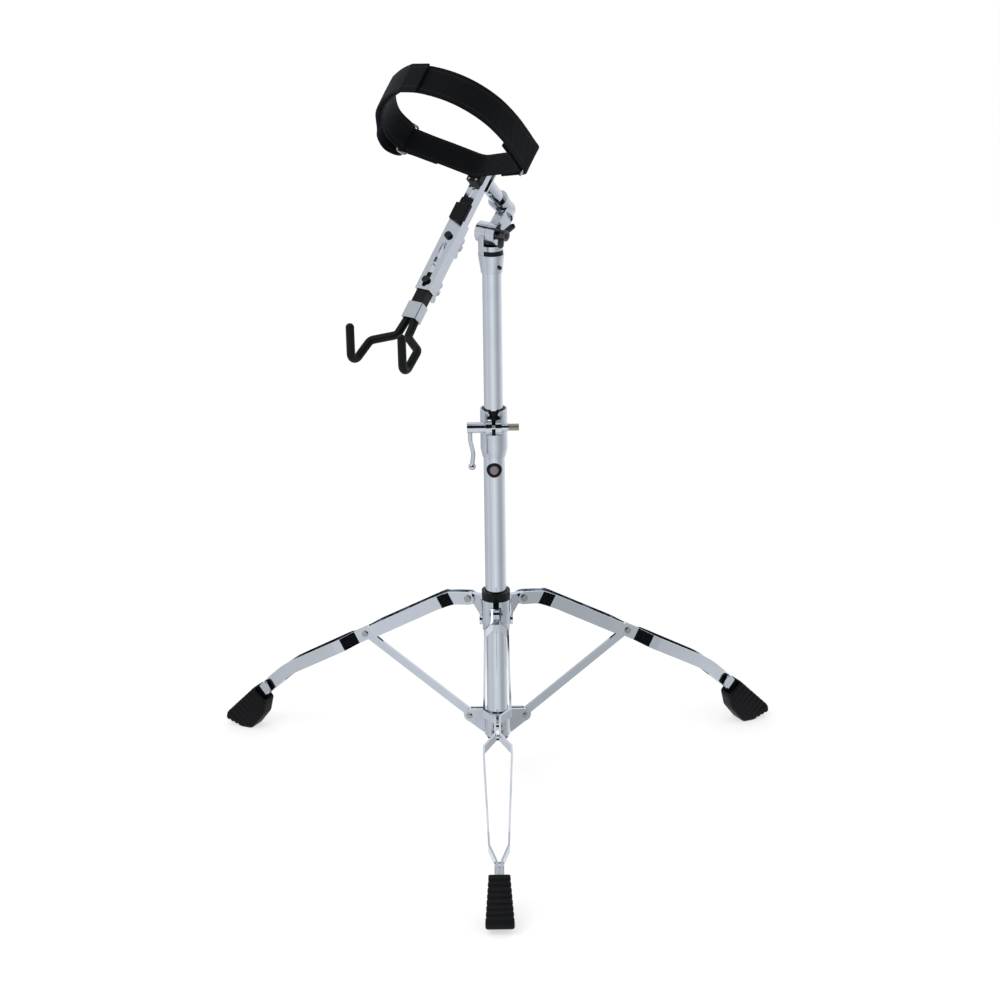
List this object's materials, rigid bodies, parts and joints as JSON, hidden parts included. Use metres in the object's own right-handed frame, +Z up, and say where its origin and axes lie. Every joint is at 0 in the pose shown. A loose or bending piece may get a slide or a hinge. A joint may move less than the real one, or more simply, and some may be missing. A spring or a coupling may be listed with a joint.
{
  "type": "hand drum stand",
  "caption": "Folding chrome tripod with a telescopic tube and a tilting arm whose strap loop and coated hooks hold a djembe or similar hand drum.",
  "frame": {"origin": "on the floor under the axis of the tube", "axes": "+Z up along the tube; the front leg lies along -Y"},
  "size_m": [0.7724, 0.669, 1.037],
  "materials": {
    "chrome": "polished",
    "zinc": "satin",
    "black_screw": "satin black",
    "black_plastic": "fine matte",
    "nylon": "smooth",
    "badge": "black with a silver disc",
    "rubber": "matte",
    "webbing": "woven black"
  },
  "bodies": {
    "base": {"base_tube": "chrome", "base_tube_plug": "black_plastic", "lower_bracket": "chrome", "bracket_rivets": "zinc", "badge": "badge", "clamp_body": "chrome", "clamp_bolt": "chrome", "clamp_nut": "zinc"},
    "hub": {"hub": "chrome", "hub_bushing": "black_plastic"},
    "hub_screw": {"hub_wing_screw": "chrome"},
    "clamp_lever": {"clamp_lever": "chrome"},
    "bushing": {"clamp_bushing": "nylon"},
    "mast": {"upper_tube": "chrome", "tilter_base": "chrome", "tilter_ring": "black_plastic", "tilter_set_screw": "zinc", "tilter_bolt": "black_screw"},
    "tilter_nut": {"tilter_wing_nut": "black_screw"},
    "arm": {"tilter_head": "chrome", "post_tube": "chrome", "arm_plate": "chrome", "arm_channel": "chrome", "arm_pad": "rubber", "strap_plate": "black_plastic", "strap_rivets": "zinc", "rear_band": "webbing", "strap": "webbing", "strap_ring_left": "zinc", "strap_ring_right": "zinc"},
    "rail": {"sliding_rail": "chrome", "rail_bolt": "black_screw"},
    "rail_nut": {"rail_wing_nut": "chrome"},
    "fork": {"fork_stem": "black_plastic", "fork_bolt": "black_screw", "fork_block": "chrome", "hook_rod_left": "zinc", "hook_rod_right": "zinc", "hook_coat_left": "rubber", "hook_coat_right": "rubber"},
    "fork_nut": {"fork_wing_nut": "chrome"},
    "leg_front": {"leg_front_bar_a": "chrome", "leg_front_bar_b": "chrome", "leg_front_rivets": "zinc", "leg_front_sleeve": "chrome", "foot_front": "rubber"},
    "strut_front": {"strut_front": "chrome"},
    "leg_right": {"leg_right_bar_a": "chrome", "leg_right_bar_b": "chrome", "leg_right_rivets": "zinc", "leg_right_sleeve": "chrome", "foot_right": "rubber"},
    "strut_right": {"strut_right": "chrome"},
    "leg_left": {"leg_left_bar_a": "chrome", "leg_left_bar_b": "chrome", "leg_left_rivets": "zinc", "leg_left_sleeve": "chrome", "foot_left": "rubber"},
    "strut_left": {"strut_left": "chrome"}
  },
  "joints": [
    {"name": "hub_slide", "type": "slide", "parent": "base", "child": "hub", "axis": [0, 0, 1], "range_m": [0, 0.18491]},
    {"name": "hub_screw_turn", "type": "hinge", "parent": "hub", "child": "hub_screw", "pos_m": [0, 0.03, 0.24419], "axis": [0, 1, 0], "range_deg": [-180, 180]},
    {"name": "clamp_lever_turn", "type": "hinge", "parent": "base", "child": "clamp_lever", "pos_m": [-0.029, -0.024, 0.527], "axis": [-1, 0, 0], "range_deg": [0, 150]},
    {"name": "mast_turn", "type": "hinge", "parent": "base", "child": "bushing", "pos_m": [0, 0, 0.52], "axis": [0, 0, 1], "continuous": true},
    {"name": "mast_height", "type": "slide", "parent": "bushing", "child": "mast", "axis": [0, 0, 1], "range_m": [-0.165, 0.15]},
    {"name": "arm_tilt", "type": "hinge", "parent": "mast", "child": "arm", "pos_m": [0, 0, 0.784], "axis": [0.8151, -0.5793, 0], "range_deg": [-40, 45]},
    {"name": "tilter_nut_turn", "type": "hinge", "parent": "mast", "child": "tilter_nut", "pos_m": [0.01223, -0.00869, 0.784], "axis": [0.8151, -0.5793, 0], "range_deg": [-180, 180]},
    {"name": "rail_slide", "type": "slide", "parent": "arm", "child": "rail", "axis": [-0.425, -0.5981, -0.6794], "range_m": [0, 0.028]},
    {"name": "rail_nut_turn", "type": "hinge", "parent": "rail", "child": "rail_nut", "pos_m": [-0.04342, -0.0611, 0.78546], "axis": [-0.3936, -0.5538, 0.7337], "range_deg": [-180, 180]},
    {"name": "fork_slide", "type": "slide", "parent": "rail", "child": "fork", "axis": [-0.425, -0.5981, -0.6794], "range_m": [-0.014, 0.006]},
    {"name": "fork_nut_turn", "type": "hinge", "parent": "fork", "child": "fork_nut", "pos_m": [-0.0719, -0.10117, 0.73994], "axis": [-0.3936, -0.5538, 0.7337], "range_deg": [-180, 180]},
    {"name": "leg_front_fold", "type": "hinge", "parent": "hub", "child": "leg_front", "pos_m": [0, -0.04, 0.26819], "axis": [1, 0, 0], "range_deg": [0, 45.5]},
    {"name": "strut_front_fold", "type": "hinge", "parent": "leg_front", "child": "strut_front", "pos_m": [0, -0.20587, 0.18185], "axis": [1, 0, 0], "range_deg": [-91, 0]},
    {"name": "leg_right_fold", "type": "hinge", "parent": "hub", "child": "leg_right", "pos_m": [0.03464, 0.02, 0.26819], "axis": [-0.5, 0.866, 0], "range_deg": [0, 45.5]},
    {"name": "strut_right_fold", "type": "hinge", "parent": "leg_right", "child": "strut_right", "pos_m": [0.17829, 0.10294, 0.18185], "axis": [-0.5, 0.866, 0], "range_deg": [-91, 0]},
    {"name": "leg_left_fold", "type": "hinge", "parent": "hub", "child": "leg_left", "pos_m": [-0.03464, 0.02, 0.26819], "axis": [-0.5, -0.866, 0], "range_deg": [0, 45.5]},
    {"name": "strut_left_fold", "type": "hinge", "parent": "leg_left", "child": "strut_left", "pos_m": [-0.17829, 0.10294, 0.18185], "axis": [-0.5, -0.866, 0], "range_deg": [-91, 0]}
  ],
  "couplings": [
    {"joint": "leg_front_fold", "follows": "hub_slide", "rad_per_m": 4.2934},
    {"joint": "strut_front_fold", "follows": "hub_slide", "rad_per_m": -8.5868},
    {"joint": "leg_right_fold", "follows": "hub_slide", "rad_per_m": 4.2934},
    {"joint": "strut_right_fold", "follows": "hub_slide", "rad_per_m": -8.5868},
    {"joint": "leg_left_fold", "follows": "hub_slide", "rad_per_m": 4.2934},
    {"joint": "strut_left_fold", "follows": "hub_slide", "rad_per_m": -8.5868}
  ]
}
